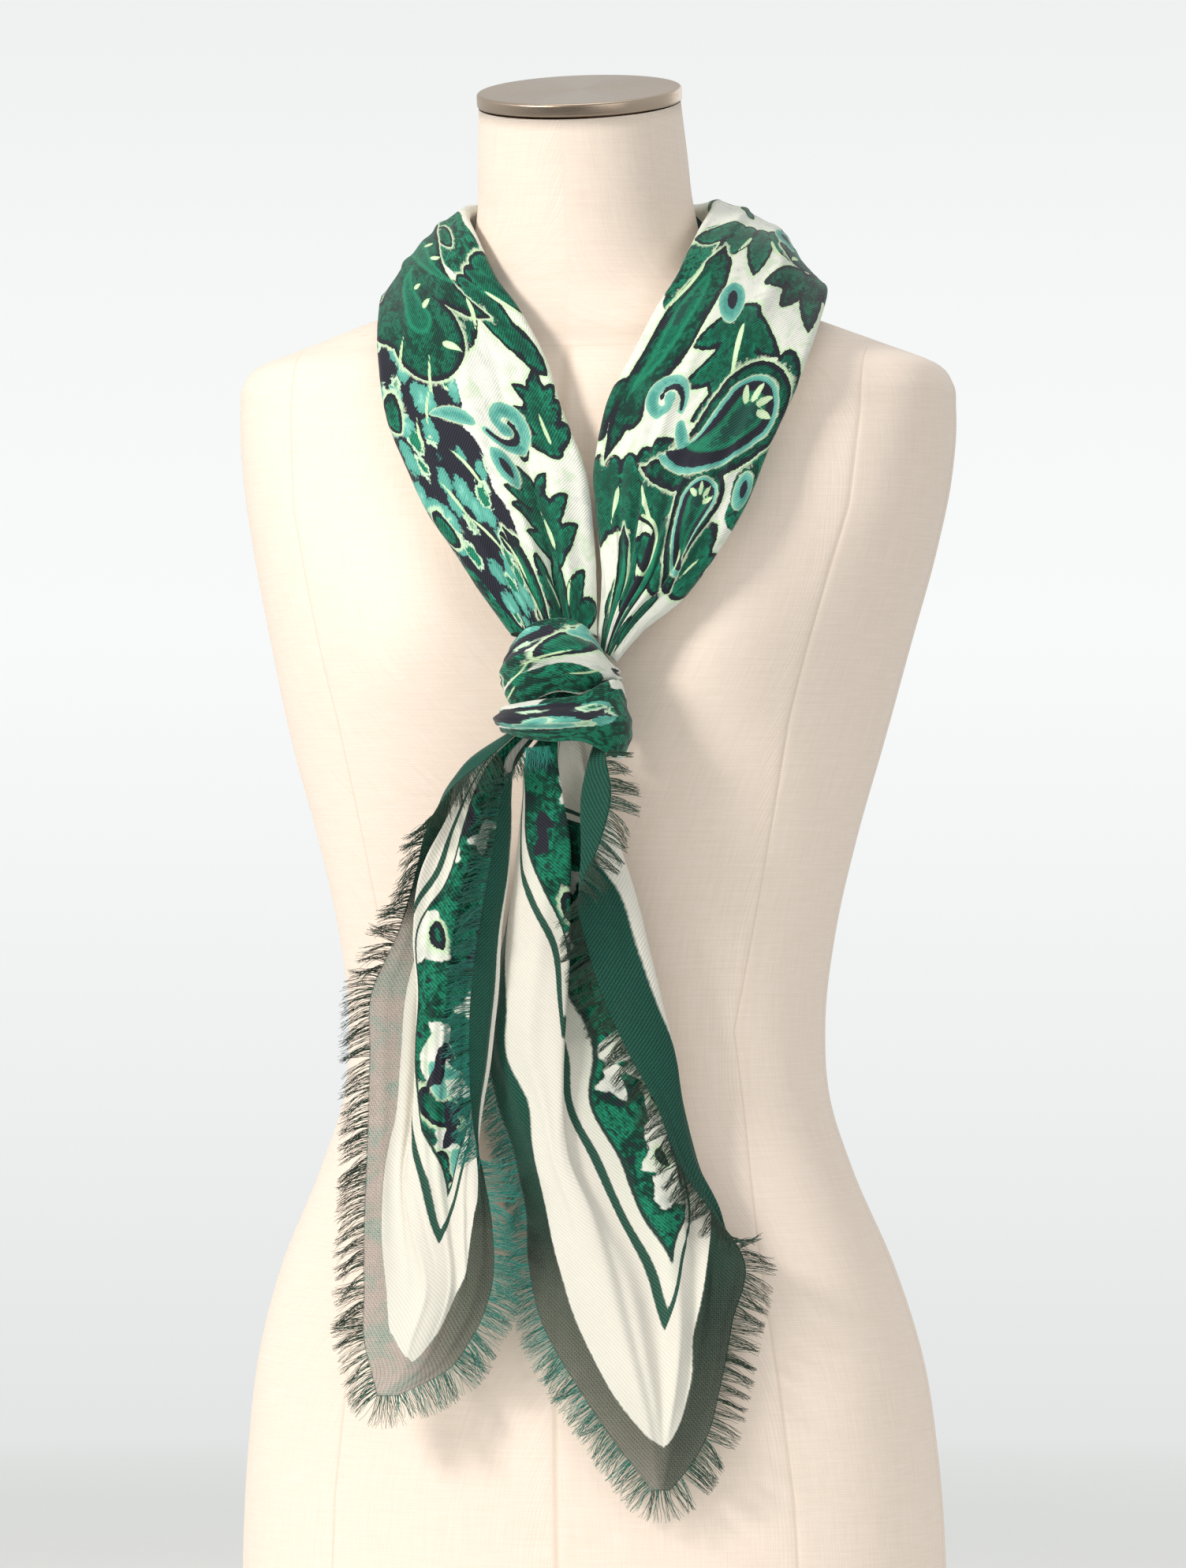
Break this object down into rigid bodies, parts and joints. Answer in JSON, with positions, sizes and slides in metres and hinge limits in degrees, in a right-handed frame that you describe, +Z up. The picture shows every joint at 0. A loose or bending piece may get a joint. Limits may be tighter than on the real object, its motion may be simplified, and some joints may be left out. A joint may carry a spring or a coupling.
{
  "type": "square scarf on a limbless dress form",
  "caption": "Light square scarf with a raw fringe, folded into a loose loop round the neck of a limbless dress form and knotted on the chest, its tails hanging in front.",
  "frame": {"origin": "middle of the dress form's flat base, on the surface that it stands on", "axes": "+Z up along the dress form, -Y to its front, +X to the right of someone who faces its front"},
  "size_m": [0.3794, 0.2965, 0.8617],
  "materials": {
    "linen_cover": "unbleached linen stretched smooth over a padded form, matt, with a fine plain weave and flat seams",
    "brushed_nickel": "warm brushed nickel, bevelled rim, soft highlights",
    "printed_gauze": "light twill gauze, matt with a slight sheen on its folds, printed with emerald, deep green and pale paisleys and scrolls inside a cream border, see-through where it is one layer",
    "fringe_yarn": "fine drawn threads, matt, deep green to teal"
  },
  "bodies": {
    "root": {"form_torso": "linen_cover", "neck_cap": "brushed_nickel", "loop_left": "printed_gauze", "loop_back": "printed_gauze", "loop_right": "printed_gauze", "knot_core": "printed_gauze", "knot_wrap": "printed_gauze", "knot_band": "printed_gauze", "tail_left": "printed_gauze", "tail_right": "printed_gauze", "fringe_left_outer": "fringe_yarn", "fringe_left_lap": "fringe_yarn", "fringe_left_inner": "fringe_yarn", "fringe_right_inner": "fringe_yarn", "fringe_right_flap": "fringe_yarn", "fringe_right_lap": "fringe_yarn", "fringe_right_outer": "fringe_yarn"}
  },
  "joints": []
}
